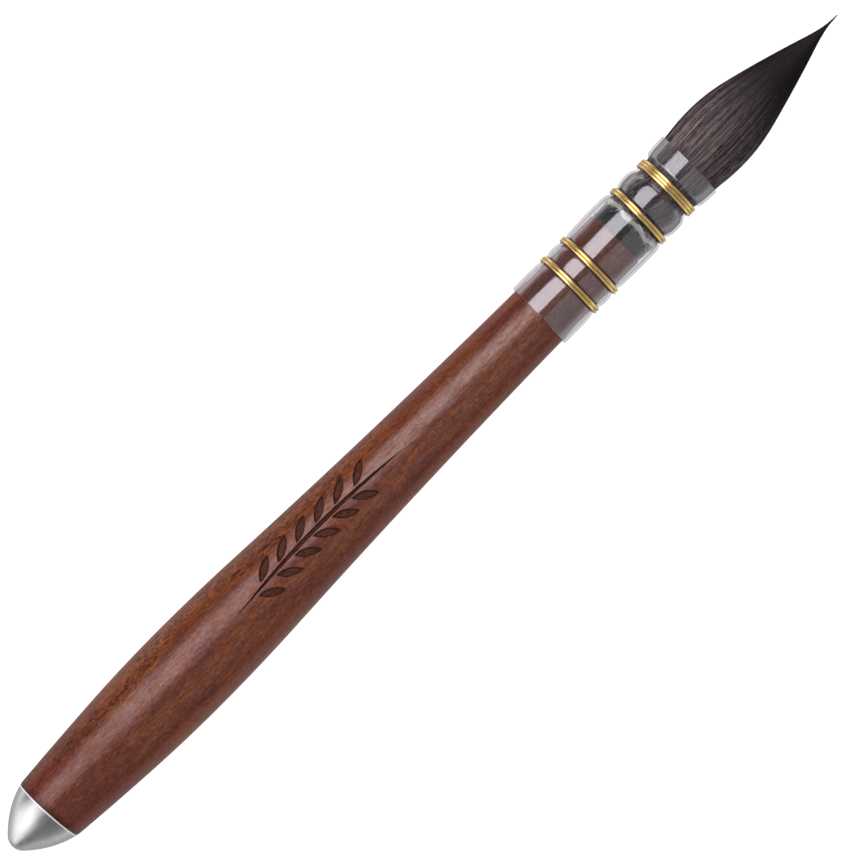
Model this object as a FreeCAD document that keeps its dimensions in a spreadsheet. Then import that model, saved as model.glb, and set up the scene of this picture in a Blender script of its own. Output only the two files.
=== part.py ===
"""A mop watercolour and ink brush: turned hardwood handle, polished metal end cap on a hidden stud,
clear quill sleeve bound with brass wire, and a pointed hair tuft that bends where it leaves the sleeve.

Every sub-part is drawn with X along the brush, from the nose of the cap at x = 0 to the point of the
hair at x = overall_length, and is then placed so that the brush lies along X with its belly on z = 0.
Lengths are in millimetres and angles in degrees.
"""
import FreeCAD, Part
import os
import Sketcher

DIMENSIONS = {
    "overall_length": 180.0,
    # end cap: a blunt bullet
    "cap_length": 8.0,
    "cap_rim_radius": 5.84,
    "cap_rim_bevel": 0.1,
    "cap_nose_x": 0.69,
    "cap_nose_r": 1.66,
    "cap_flank_x": 3.85,
    "cap_flank_r": 4.14,
    # stud that joins the cap to the wood
    "stud_radius": 1.95,
    "stud_length": 16.0,
    "stud_start_x": 3.9,
    "stud_chamfer": 0.4,
    "stud_hole_radius": 2.0,
    "stud_end_room": 0.5,
    # handle: rear end, swelling belly, long neck, tenon
    "seat_gap": 0.04,
    "handle_rear_chamfer": 0.22,
    "handle_rear_r": 5.93,
    "haunch_x": 24.0,
    "haunch_r": 7.07,
    "belly_x": 38.5,
    "belly_r": 7.5,
    "shoulder_x": 55.0,
    "shoulder_r": 7.09,
    "neck_r": 5.25,
    "tenon_x": 118.0,
    "tenon_r": 5.04,
    "tenon_end_x": 131.7,
    "tenon_chamfer": 0.25,
    # sprig burnt into the handle: a bowed stem and pairs of leaves, seen from above
    "sprig_depth": 0.2,
    "sprig_start_x": 52.3,
    "sprig_end_x": 83.4,
    "sprig_y": 0.6,
    "stem_bow": 0.75,
    "stem_width": 0.5,
    "leaf_first_x": 54.4,
    "leaf_pitch": 4.1,
    "leaf_stagger": 1.6,
    "leaf_offset_y": 0.62,
    "leaf_run": 3.5,
    "leaf_rise": 2.15,
    "leaf_half_width": 0.6,
    # clear sleeve, pinched under each binding and flared at the mouth
    "sleeve_rear_x": 114.7,
    "sleeve_mouth_x": 147.8,
    "sleeve_wall": 0.35,
    "sleeve_r": 5.81,
    "sleeve_mouth_r": 5.97,
    "pinch_half_width": 2.1,
    # brass wire bindings
    "wire_radius": 0.25,
    "wire_pitch": 0.53,
    "wire_clearance": 0.02,
    "binding_1_x": 121.7,
    "binding_2_x": 125.9,
    "binding_3_x": 136.6,
    "binding_4_x": 142.7,
    "binding_1_turns": 2.0,
    "binding_2_turns": 2.0,
    "binding_3_turns": 2.0,
    "binding_4_turns": 3.0,
    "binding_1_r": 5.93,
    "binding_2_r": 5.93,
    "binding_3_r": 5.76,
    "binding_4_r": 5.66,
    # inside the sleeve, between the tenon and the hair
    "inner_clearance": 0.04,
    "glue_r": 4.98,
    "glue_end_x": 134.2,
    "thread_end_x": 135.3,
    # hair: a fixed root with a domed end, and the free tuft that turns about the mouth
    "root_hair_mouth_r": 5.52,
    "ball_radius": 7.5,
    "ball_gap": 0.25,
    "tuft_rim_dx": 4.95,
    "tuft_crest_x": 153.4,
    "tuft_crest_r": 5.99,
    "tuft_fall_x": 160.6,
    "tuft_fall_r": 5.07,
    "tuft_point_x": 175.2,
    "tuft_point_r": 0.84,
    "tip_r": 0.05,
}
BINDINGS = (1, 2, 3, 4)
LEAF_PAIRS = 6

doc = FreeCAD.newDocument("brush")
sheet = doc.addObject("Spreadsheet::Sheet", "sheet")
for row, (name, value) in enumerate(DIMENSIONS.items(), start=1):
    sheet.set(f"A{row}", name)
    sheet.set(f"B{row}", str(value))
    sheet.setAlias(f"B{row}", name)
doc.recompute()


def bound(expression):
    """The expression with every dimension's name written as a cell of the sheet."""
    words = []
    word = ""
    for letter in expression + " ":
        if letter.isalnum() or letter == "_":
            word += letter
            continue
        words.append(f"sheet.{word}" if word in DIMENSIONS else word)
        words.append(letter)
        word = ""
    return "".join(words).strip()


def size(expression):
    """The value of an expression of the sheet's dimensions, in millimetres."""
    value = sheet.evalExpression(bound(expression))
    return float(getattr(value, "Value", value))


def place(piece):
    """Lays a piece drawn from x = 0 where it belongs: centred along X, with the belly on z = 0."""
    piece.setExpression("Placement.Base.x", bound("-overall_length / 2"))
    piece.setExpression("Placement.Base.z", bound("belly_r"))


def new_body(label):
    body = doc.addObject("PartDesign::Body", label)
    body.Label = label
    return body


def new_sketch(body, name, role="XY_Plane"):
    """A sketch on one of the body's own origin planes."""
    plane = next(item for item in body.Origin.OriginFeatures if item.Role == role)
    sketch = body.newObject("Sketcher::SketchObject", f"{body.Name}_{name}")
    sketch.AttachmentSupport = [(plane, "")]
    sketch.MapMode = "FlatFace"
    return sketch


def drive(sketch, kind, *reference, expression):
    """Adds a constraint to a sketch whose value follows the sheet."""
    index = sketch.addConstraint(Sketcher.Constraint(kind, *reference, size(expression)))
    name = f"{kind.lower()}_{index}"
    sketch.renameConstraint(index, name)
    sketch.setExpression(f"Constraints.{name}", bound(expression))


class Outline:
    """A closed half section above the X axis. Each point is a pair of expressions of the sheet."""

    def __init__(self, sketch, x, r):
        self.sketch = sketch
        self.first = (x, r)
        self.last = (x, r)
        self.ends = []

    def add(self, geometry, start, smooth):
        """Adds an edge and joins its start to the edge before, smoothly or with a corner."""
        index = self.sketch.addGeometry(geometry, False)
        turned = self.sketch.getPoint(index, 1).distanceToPoint(start) > 1e-6
        begin, end = (2, 1) if turned else (1, 2)
        if self.ends:
            kind = "Tangent" if smooth else "Coincident"
            before = self.ends[-1]
            self.sketch.addConstraint(Sketcher.Constraint(kind, before[0], before[2], index, begin))
        self.ends.append((index, begin, end))
        if len(self.ends) == 1:
            self.fix(*self.first, index, begin)
        return index

    def fix(self, x, r, index, end):
        """Holds one end of an edge at (x, r)."""
        if r == "0":
            self.sketch.addConstraint(Sketcher.Constraint("PointOnObject", index, end, -1))
        else:
            drive(self.sketch, "DistanceY", -1, 1, index, end, expression=r)
        if x == "0":
            self.sketch.addConstraint(Sketcher.Constraint("PointOnObject", index, end, -2))
        else:
            drive(self.sketch, "DistanceX", -1, 1, index, end, expression=x)

    def vector(self, point):
        return FreeCAD.Vector(size(point[0]), size(point[1]), 0)

    def line(self, x, r, smooth=False):
        start, end = self.vector(self.last), self.vector((x, r))
        index = self.add(Part.LineSegment(start, end), start, smooth)
        self.fix(x, r, index, self.ends[-1][2])
        self.last = (x, r)
        return self

    def arc(self, x, r, bulge, smooth=False, level=None, centre=None, radius=None):
        """An arc to (x, r). bulge is about how far its middle stands off its chord, positive away
        from the axis. It is settled by a smooth start, by level: "start" or "end", where it runs
        parallel to X, by centre: its centre's x, which then lies on X, or by its radius."""
        start, end = self.vector(self.last), self.vector((x, r))
        across = FreeCAD.Vector(start.y - end.y, end.x - start.x, 0).normalize()
        if across.y < 0:
            across = -across
        middle = (start + end) / 2 + across * bulge
        edge = Part.Arc(start, middle, end)
        index = self.add(edge, start, smooth)
        self.fix(x, r, index, self.ends[-1][2])
        point = self.ends[-1][{"start": 1, "end": 2}.get(level, 2)]
        if level:
            self.sketch.addConstraint(Sketcher.Constraint("Vertical", index, 3, index, point))
        if centre:
            self.sketch.addConstraint(Sketcher.Constraint("PointOnObject", index, 3, -1))
        if radius:
            drive(self.sketch, "Radius", index, expression=radius)
        self.last = (x, r)
        return self

    def close(self):
        """Joins the last point to the first one with a straight edge."""
        start, end = self.vector(self.last), self.vector(self.first)
        index = self.add(Part.LineSegment(start, end), start, False)
        first = self.ends[0]
        self.sketch.addConstraint(Sketcher.Constraint("Coincident", index, 2, first[0], first[1]))
        self.sketch.solve()


def turn(body, sketch, name="turned"):
    """Turns a half section once about the X axis."""
    revolution = body.newObject("PartDesign::Revolution", f"{body.Name}_{name}")
    revolution.Profile = sketch
    revolution.ReferenceAxis = (sketch, ["H_Axis"])
    revolution.Angle = 360
    return revolution


def floor_half_width(n):
    """Half the flat stretch that binding n presses into the sleeve."""
    return f"(binding_{n}_turns * wire_pitch / 2 + wire_radius)"


def floor_radius(n):
    """The sleeve's outside under binding n."""
    return f"binding_{n}_r - 2 * wire_radius - wire_clearance"


def pinches(outline, inset, first, last):
    """Runs an outline along the sleeve, forwards or backwards, through the pinches under the
    bindings from first to last. inset is how far the outline lies inside the sleeve's outside."""
    side = 1 if last >= first else -1
    for n in range(first, last + side, side):
        land = f"sleeve_r - {inset}"
        floor = f"{floor_radius(n)} - {inset}"
        outline.line(f"binding_{n}_x - {side} * pinch_half_width", land)
        outline.arc(f"binding_{n}_x - {side} * {floor_half_width(n)}", floor, -0.1, level="end")
        outline.line(f"binding_{n}_x + {side} * {floor_half_width(n)}", floor)
        outline.arc(f"binding_{n}_x + {side} * pinch_half_width", land, -0.1, level="start")


def make_end_cap():
    body = new_body("end_cap")
    outline = Outline(new_sketch(body, "section"), "0", "0")
    outline.arc("cap_nose_x", "cap_nose_r", 0.4, centre=True)
    outline.arc("cap_flank_x", "cap_flank_r", 0.2, smooth=True)
    outline.arc("cap_length - cap_rim_bevel", "cap_rim_radius", 0.15, smooth=True)
    outline.line("cap_length", "cap_rim_radius - cap_rim_bevel")
    outline.line("cap_length", "stud_hole_radius")
    outline.line("stud_start_x - stud_end_room", "stud_hole_radius")
    outline.line("stud_start_x - stud_end_room", "0")
    outline.close()
    turn(body, outline.sketch)
    place(body)
    return body


def make_cap_stud():
    body = new_body("cap_stud")
    end = "stud_start_x + stud_length"
    outline = Outline(new_sketch(body, "section"), "stud_start_x", "0")
    outline.line("stud_start_x", "stud_radius - stud_chamfer")
    outline.line("stud_start_x + stud_chamfer", "stud_radius")
    outline.line(f"{end} - stud_chamfer", "stud_radius")
    outline.line(end, "stud_radius - stud_chamfer")
    outline.line(end, "0")
    outline.close()
    turn(body, outline.sketch)
    place(body)
    return body


def lens(sketch, start, end, above, below):
    """A pointed shape of two arcs from start to end, pairs of expressions. above and below are how
    far each arc's middle stands off the chord, positive on the same side as the sketch's +Y."""
    names = (("DistanceX", "DistanceY"), (start, end))
    a, b = (FreeCAD.Vector(size(point[0]), size(point[1]), 0) for point in (start, end))
    across = FreeCAD.Vector(a.y - b.y, b.x - a.x, 0).normalize()
    edges = []
    for bulge in (above, below):
        middle = (a + b) / 2 + across * size(bulge)
        index = sketch.addGeometry(Part.Arc(a, middle, b), False)
        turned = sketch.getPoint(index, 1).distanceToPoint(a) > 1e-6
        edges.append((index, (2, 1) if turned else (1, 2), bulge))
    first, second = edges
    for end_at in (0, 1):
        pair = (first[0], first[1][end_at], second[0], second[1][end_at])
        sketch.addConstraint(Sketcher.Constraint("Coincident", *pair))
        for kind, expression in zip(names[0], names[1][end_at]):
            drive(sketch, kind, -1, 1, *pair[:2], expression=expression)
    chord = f"((({end[0]}) - ({start[0]}))^2 + (({end[1]}) - ({start[1]}))^2)"
    for index, _, bulge in edges:
        radius = f"({chord} / (8 * abs({bulge})) + abs({bulge}) / 2)"
        drive(sketch, "Radius", index, expression=radius)


def make_sprig():
    """The cutter of the burnt ornament: leaves and stem, extruded up through a shell as deep as
    the burn, so that the floor of each cut follows the handle's round surface."""
    shell = new_body("sprig_shell")
    outline = Outline(new_sketch(shell, "section"), "belly_x", "belly_r + sprig_depth")
    outline.line("belly_x", "belly_r - sprig_depth")
    outline.arc("shoulder_x", "shoulder_r - sprig_depth", 0.1, level="start")
    outline.arc("sleeve_rear_x", "neck_r - sprig_depth", -0.29, smooth=True)
    outline.line("sleeve_rear_x", "belly_r + sprig_depth")
    outline.close()
    turn(shell, outline.sketch)

    sketch = doc.addObject("Sketcher::SketchObject", "sprig_outline")
    lens(
        sketch,
        ("sprig_start_x", "sprig_y"),
        ("sprig_end_x", "sprig_y"),
        "stem_bow + stem_width / 2",
        "stem_bow - stem_width / 2",
    )
    middle = "((sprig_start_x + sprig_end_x) / 2)"
    half = "((sprig_end_x - sprig_start_x) / 2)"
    for pair in range(LEAF_PAIRS):
        for side in (1, -1):
            x = f"leaf_first_x + {pair} * leaf_pitch + {max(side, 0)} * leaf_stagger"
            bow = f"stem_bow * (1 - (({x} - {middle}) / {half})^2)"
            y = f"sprig_y + {bow} + {side} * leaf_offset_y"
            start = (x, y)
            end = (f"{x} + leaf_run", f"{y} + {side} * leaf_rise")
            lens(sketch, start, end, "leaf_half_width", "-leaf_half_width")

    prism = doc.addObject("Part::Extrusion", "sprig_prism")
    prism.Base = sketch
    prism.DirMode = "Custom"
    prism.Dir = (0, 0, 1)
    prism.Solid = True
    prism.setExpression("LengthFwd", bound("belly_r + 1"))
    sprig = doc.addObject("Part::Common", "sprig")
    sprig.Base = prism
    sprig.Tool = shell
    return sprig


def make_handle():
    body = new_body("handle_blank")
    rear = "cap_length + seat_gap"
    hole_end = "stud_start_x + stud_length + stud_end_room"
    outline = Outline(new_sketch(body, "section"), rear, "stud_hole_radius")
    outline.line(rear, "handle_rear_r - handle_rear_chamfer")
    outline.line(f"{rear} + handle_rear_chamfer", "handle_rear_r")
    outline.arc("haunch_x", "haunch_r", 0.06)
    outline.arc("belly_x", "belly_r", 0.11, smooth=True, level="end")
    outline.arc("shoulder_x", "shoulder_r", 0.1, level="start")
    outline.arc("sleeve_rear_x", "neck_r", -0.29, smooth=True)
    outline.line("tenon_x", "tenon_r")
    outline.line("tenon_end_x - tenon_chamfer", "tenon_r")
    outline.line("tenon_end_x", "tenon_r - tenon_chamfer")
    outline.line("tenon_end_x", "0")
    outline.line(hole_end, "0")
    outline.line(hole_end, "stud_hole_radius")
    outline.close()
    turn(body, outline.sketch)
    handle = doc.addObject("Part::Cut", "handle")
    handle.Base = body
    handle.Tool = make_sprig()
    place(handle)
    return handle


def make_quill_sleeve():
    body = new_body("quill_sleeve")
    last = BINDINGS[-1]
    outline = Outline(new_sketch(body, "section"), "sleeve_rear_x", "sleeve_r - sleeve_wall")
    outline.line("sleeve_rear_x", "sleeve_r")
    pinches(outline, "0", 1, last)
    outline.line("sleeve_mouth_x", "sleeve_mouth_r")
    outline.line("sleeve_mouth_x", "sleeve_mouth_r - sleeve_wall")
    pinches(outline, "sleeve_wall", last, 1)
    outline.close()
    turn(body, outline.sketch)
    place(body)
    return body


def make_wire_binding(n):
    """A few turns of wire, wound close, whose outside has the radius binding_n_r."""
    body = new_body(f"wire_binding_{n}")
    sketch = new_sketch(body, "section")
    index = sketch.addGeometry(
        Part.Circle(
            FreeCAD.Vector(size(f"binding_{n}_x"), size(f"binding_{n}_r - wire_radius"), 0),
            FreeCAD.Vector(0, 0, 1),
            size("wire_radius"),
        ),
        False,
    )
    start = f"binding_{n}_x - binding_{n}_turns * wire_pitch / 2"
    drive(sketch, "DistanceX", -1, 1, index, 3, expression=start)
    drive(sketch, "DistanceY", -1, 1, index, 3, expression=f"binding_{n}_r - wire_radius")
    drive(sketch, "Radius", index, expression="wire_radius")
    coil = body.newObject("PartDesign::AdditiveHelix", f"{body.Name}_coil")
    coil.Profile = sketch
    coil.ReferenceAxis = (sketch, ["H_Axis"])
    coil.Mode = "pitch-turns-angle"
    coil.setExpression("Pitch", bound("wire_pitch"))
    coil.setExpression("Turns", bound(f"binding_{n}_turns"))
    place(body)
    return body


def make_root_glue():
    body = new_body("root_glue")
    start = "tenon_end_x + inner_clearance"
    outline = Outline(new_sketch(body, "section"), start, "0")
    outline.line(start, "glue_r - tenon_chamfer")
    outline.line(f"{start} + tenon_chamfer", "glue_r")
    outline.line("glue_end_x", "glue_r")
    outline.line("glue_end_x", "0")
    outline.close()
    turn(body, outline.sketch)
    place(body)
    return body


def make_root_thread():
    """The cotton lashing round the butt of the hair: a flat coil with a rounded rim."""
    body = new_body("root_thread")
    start = "glue_end_x + inner_clearance"
    rim = "(thread_end_x - glue_end_x - inner_clearance)"
    outline = Outline(new_sketch(body, "section"), start, "0")
    outline.line(start, f"glue_r - {rim} / 3")
    outline.arc("thread_end_x", f"glue_r - {rim} / 3", size(f"{rim} / 4"), radius=f"0.6 * {rim}")
    outline.line("thread_end_x", "0")
    outline.close()
    turn(body, outline.sketch)
    place(body)
    return body


def make_hair_root():
    """The hair that the sleeve holds. It swells past the mouth and ends in a dome about the bend."""
    body = new_body("hair_root")
    start = "thread_end_x + inner_clearance"
    inset = "(sleeve_wall + inner_clearance)"
    butt = f"{floor_radius(3)} - {inset}"
    share = "(ball_radius / (ball_radius + ball_gap))"
    cup = "(ball_radius + ball_gap)"
    outline = Outline(new_sketch(body, "section"), start, "0")
    outline.line(start, butt)
    outline.line(f"binding_3_x + {floor_half_width(3)}", butt)
    outline.arc("binding_3_x + pinch_half_width", f"sleeve_r - {inset}", -0.1, level="start")
    pinches(outline, inset, 4, 4)
    outline.line("sleeve_mouth_x", "root_hair_mouth_r")
    outline.line(
        f"sleeve_mouth_x + tuft_rim_dx * {share}",
        f"sqrt({cup} * {cup} - tuft_rim_dx * tuft_rim_dx) * {share}",
    )
    outline.arc("sleeve_mouth_x + ball_radius", "0", 1.5, centre=True)
    outline.close()
    turn(body, outline.sketch)
    place(body)
    return body


def make_hair_tuft():
    """The free hair: cupped over the root's dome, fullest just past the mouth, drawn to a point."""
    body = new_body("hair_tuft")
    cup = "(ball_radius + ball_gap)"
    outline = Outline(new_sketch(body, "section"), f"sleeve_mouth_x + {cup}", "0")
    rim = f"sqrt({cup} * {cup} - tuft_rim_dx * tuft_rim_dx)"
    outline.arc("sleeve_mouth_x + tuft_rim_dx", rim, 1.5, centre=True)
    outline.line("tuft_crest_x", "tuft_crest_r")
    outline.arc("tuft_fall_x", "tuft_fall_r", 0.2, level="start")
    outline.arc("tuft_point_x", "tuft_point_r", 0.15, smooth=True)
    outline.arc("overall_length", "tip_r", -0.1, smooth=True)
    outline.line("overall_length", "0")
    outline.close()
    turn(body, outline.sketch)
    place(body)
    return body


pieces = [
    make_end_cap(),
    make_cap_stud(),
    make_handle(),
    make_quill_sleeve(),
    *(make_wire_binding(n) for n in BINDINGS),
    make_root_glue(),
    make_root_thread(),
    make_hair_root(),
    make_hair_tuft(),
]
doc.recompute()

for item in doc.Objects:
    if {"Invalid", "Error"} & set(item.State):
        raise RuntimeError(f"{item.Name} failed: {item.State}")
for piece in pieces:
    if piece.Shape.isNull() or not piece.Shape.isValid() or not piece.Shape.Solids:
        raise RuntimeError(f"{piece.Label} has no valid solid")

os.makedirs("parts", exist_ok=True)
for piece in pieces:
    piece.Shape.exportStep(f"parts/{piece.Label}.step")
    low, high = piece.Shape.BoundBox.getPoint(0), piece.Shape.BoundBox.getPoint(6)
    print(f"{piece.Label:16s} {piece.Shape.Volume:10.2f} mm3  x {low.x:8.3f} {high.x:8.3f}")
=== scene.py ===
"""The looks of the mop brush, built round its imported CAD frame.

The brush lies along X. A place on it is given as x, r and angle: millimetres along the brush from
the nose of the end cap, millimetres out from its axis, and the angle about the axis in radians,
from straight up towards +Y.
"""

import math

import bpy
import numpy as np
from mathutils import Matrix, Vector


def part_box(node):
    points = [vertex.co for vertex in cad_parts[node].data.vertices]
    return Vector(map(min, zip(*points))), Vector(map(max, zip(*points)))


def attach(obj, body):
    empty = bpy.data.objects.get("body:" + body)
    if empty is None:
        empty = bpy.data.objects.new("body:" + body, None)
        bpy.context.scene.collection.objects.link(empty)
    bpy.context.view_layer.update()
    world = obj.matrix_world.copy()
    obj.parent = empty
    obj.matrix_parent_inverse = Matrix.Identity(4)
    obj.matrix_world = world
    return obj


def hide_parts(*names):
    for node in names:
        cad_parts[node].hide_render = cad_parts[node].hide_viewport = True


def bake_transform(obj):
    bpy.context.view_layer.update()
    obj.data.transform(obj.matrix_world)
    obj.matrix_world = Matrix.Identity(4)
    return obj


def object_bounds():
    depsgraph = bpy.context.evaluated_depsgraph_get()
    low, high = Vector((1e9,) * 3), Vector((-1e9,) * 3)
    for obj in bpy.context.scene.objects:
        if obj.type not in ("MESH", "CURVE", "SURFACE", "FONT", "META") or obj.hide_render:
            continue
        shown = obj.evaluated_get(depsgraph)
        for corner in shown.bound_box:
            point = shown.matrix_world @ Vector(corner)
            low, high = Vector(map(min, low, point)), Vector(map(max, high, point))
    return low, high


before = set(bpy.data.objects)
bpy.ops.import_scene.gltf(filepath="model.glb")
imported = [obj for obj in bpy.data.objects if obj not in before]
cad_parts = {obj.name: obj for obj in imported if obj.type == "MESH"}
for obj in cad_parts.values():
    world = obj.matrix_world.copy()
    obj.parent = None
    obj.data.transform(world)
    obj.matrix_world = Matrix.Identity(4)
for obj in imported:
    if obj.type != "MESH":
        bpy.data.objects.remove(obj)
cad_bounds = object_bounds()

MM = 0.001
NOSE_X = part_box("end_cap")[0].x
AXIS_Z = (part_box("handle")[0].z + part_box("handle")[1].z) / 2
LENGTH = (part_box("hair_tuft")[1].x - NOSE_X) / MM
CAP_END = (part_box("end_cap")[1].x - NOSE_X) / MM
HANDLE_REAR = (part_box("handle")[0].x - NOSE_X) / MM
TENON_END = (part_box("handle")[1].x - NOSE_X) / MM
SLEEVE_REAR = (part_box("quill_sleeve")[0].x - NOSE_X) / MM
MOUTH = (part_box("quill_sleeve")[1].x - NOSE_X) / MM
RING_SPACING, RING_PHASE, RING_TILT, RING_WANDER = 0.0066, -6.4, 0.25, 1.4


# ---------------------------------------------------------------- geometry


def place(x, r, angle):
    """Points of the row frame, in metres, for arrays of x, r and angle."""
    x, r, angle = np.broadcast_arrays(x, r, angle)
    return np.stack(
        [NOSE_X + x * MM, r * np.sin(angle) * MM, AXIS_Z + r * np.cos(angle) * MM], axis=-1
    )


def smoothstep(low, high, value):
    """0 below low, 1 above high, and a smooth rise between them."""
    t = np.clip((value - low) / (high - low), 0, 1)
    return t * t * (3 - 2 * t)


def chain(points, heading, step=0.4):
    """Tangent arcs through points (x, r). heading is the first one's direction, in degrees."""
    path = [np.array(points[0], float)]
    heading = math.radians(heading)
    for a, b in zip(points, points[1:]):
        a, b = np.array(a, float), np.array(b, float)
        chord = b - a
        length = float(np.hypot(*chord))
        bend = math.atan2(chord[1], chord[0]) - heading
        bend = 2 * ((bend + math.pi) % (2 * math.pi) - math.pi)
        count = max(2, round(length / step))
        for t in np.linspace(0, 1, count + 1)[1:]:
            if abs(bend) < 1e-6:
                path.append(a + chord * t)
                continue
            radius = length / (2 * math.sin(bend / 2))
            turn = heading + bend * t
            path.append(a + radius * np.array([
                math.sin(turn) - math.sin(heading),
                math.cos(heading) - math.cos(turn),
            ]))
        heading += bend
    return np.array(path)


def smooth_curve(stations, x):
    """A smooth curve through stations (x, value) that never overshoots them, read at x."""
    xs, ys = np.array(stations, float).T
    slopes = np.diff(ys) / np.diff(xs)
    tangents = np.zeros(len(xs))
    same = slopes[:-1] * slopes[1:] > 0
    total = np.where(same, slopes[:-1] + slopes[1:], 1)
    tangents[1:-1] = np.where(same, 2 * slopes[:-1] * slopes[1:] / total, 0)
    tangents[0], tangents[-1] = slopes[0], slopes[-1]
    i = np.clip(np.searchsorted(xs, x) - 1, 0, len(xs) - 2)
    gap = xs[i + 1] - xs[i]
    t = np.clip((x - xs[i]) / gap, 0, 1)
    return (
        ys[i] * (1 + 2 * t) * (1 - t) ** 2
        + tangents[i] * gap * t * (1 - t) ** 2
        + ys[i + 1] * t * t * (3 - 2 * t)
        + tangents[i + 1] * gap * t * t * (t - 1)
    )


def add_attribute(mesh, key, values):
    """Gives each vertex of a mesh one number."""
    attribute = mesh.attributes.new(key, "FLOAT", "POINT")
    attribute.data.foreach_set("value", values.astype(np.float32))


def new_mesh(name, vertices, faces, sharp_degrees=35, **attributes):
    """A smooth-shaded mesh object. faces is a list of integer arrays, one row per face, and each
    attribute is one number per vertex."""
    faces = [f for f in faces if len(f)]
    mesh = bpy.data.meshes.new(name)
    corners = np.concatenate([f.ravel() for f in faces]).astype(np.int32)
    sizes = np.concatenate([np.full(len(f), f.shape[1]) for f in faces]).astype(np.int32)
    mesh.vertices.add(len(vertices))
    mesh.vertices.foreach_set("co", np.asarray(vertices, np.float32).ravel())
    mesh.loops.add(len(corners))
    mesh.loops.foreach_set("vertex_index", corners)
    mesh.polygons.add(len(sizes))
    starts = np.concatenate([[0], np.cumsum(sizes)[:-1]]).astype(np.int32)
    mesh.polygons.foreach_set("loop_start", starts)
    mesh.polygons.foreach_set("loop_total", sizes)
    mesh.polygons.foreach_set("use_smooth", np.ones(len(sizes), bool))
    mesh.update(calc_edges=True)
    mesh.validate()
    for key, values in attributes.items():
        add_attribute(mesh, key, values)
    if sharp_degrees:
        mesh.set_sharp_from_angle(angle=math.radians(sharp_degrees))
    obj = bpy.data.objects.new(name, mesh)
    bpy.context.scene.collection.objects.link(obj)
    return obj


def grid_faces(rows, columns, wrap_rows=False, wrap_columns=True, start=0):
    """Quads over a grid of vertices stored row by row."""
    i = np.arange(rows if wrap_rows else rows - 1)[:, None]
    j = np.arange(columns if wrap_columns else columns - 1)[None, :]
    a, b = i * columns + j, i * columns + (j + 1) % columns
    c, d = (i + 1) % rows * columns + (j + 1) % columns, (i + 1) % rows * columns + j
    return start + np.stack([a, b, c, d], axis=-1).reshape(-1, 4)


def turned(name, outline, angles, change=None, **attributes):
    """A closed turned piece. outline runs from the axis to the axis, and change(x, r, angle) may
    give each point another x and r."""
    x, r = outline[1:-1, 0][:, None], outline[1:-1, 1][:, None]
    if change:
        x, r = change(x, r, angles[None, :])
    ring_points = place(x, r, angles[None, :]).reshape(-1, 3)
    ends = place(outline[[0, -1], 0], 0.0, 0.0)
    rows, columns = len(outline) - 2, len(angles)
    first, last = rows * columns, rows * columns + 1
    j = np.arange(columns)
    after = (j + 1) % columns
    low_fan = np.stack([np.full(columns, first), after, j], axis=-1)
    top = (rows - 1) * columns
    high_fan = np.stack([np.full(columns, last), top + j, top + after], axis=-1)
    quads = grid_faces(rows, columns)
    values = {key: np.append(v.ravel(), [0, 0]) for key, v in attributes.items()}
    return new_mesh(name, np.concatenate([ring_points, ends]), [quads, low_fan, high_fan], **values)


def tube_ring(sides):
    """Evenly spaced angles, one for each side of a round piece."""
    return np.arange(sides) * 2 * math.pi / sides


def tubes(name, x, r, angle, thickness, sides=3, sharp_degrees=None, **attributes):
    """Thin round fibres in one mesh. x, r, angle and thickness (each fibre's radius) are arrays
    of fibres by points. Each attribute is one number per fibre, per fibre and point, or per
    fibre, point and side."""
    fibres, count = x.shape
    centre = place(x, r, angle)
    ahead = np.gradient(centre, axis=1)
    ahead /= np.linalg.norm(ahead, axis=-1, keepdims=True)
    outward = place(x * 0, 1.0, angle) - place(x * 0, 0.0, angle)
    outward /= np.linalg.norm(outward, axis=-1, keepdims=True)
    outward -= ahead * np.sum(outward * ahead, axis=-1, keepdims=True)
    outward /= np.linalg.norm(outward, axis=-1, keepdims=True)
    across = np.cross(ahead, outward)
    around = tube_ring(sides)[:, None]
    rim = outward[:, :, None, :] * np.cos(around) + across[:, :, None, :] * np.sin(around)
    points = centre[:, :, None, :] + rim * thickness[:, :, None, None] * MM
    one = grid_faces(count, sides)
    starts = np.arange(fibres) * count * sides
    quads = (starts[:, None, None] + one).reshape(-1, 4)
    low = (starts[:, None] + np.arange(sides)[::-1]).reshape(-1, sides)
    high = (starts[:, None] + (count - 1) * sides + np.arange(sides)).reshape(-1, sides)
    values = {}
    for key, value in attributes.items():
        value = value.reshape(value.shape + (1,) * (3 - value.ndim))
        values[key] = np.broadcast_to(value, (fibres, count, sides)).ravel()
    return new_mesh(name, points.reshape(-1, 3), [quads, low, high], sharp_degrees, **values)


# ---------------------------------------------------------------- materials


MIX_SHARE, MIX_A, MIX_B, MIX_RESULT = 0, 6, 7, 2  # a Mix node's sockets for colours


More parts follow.
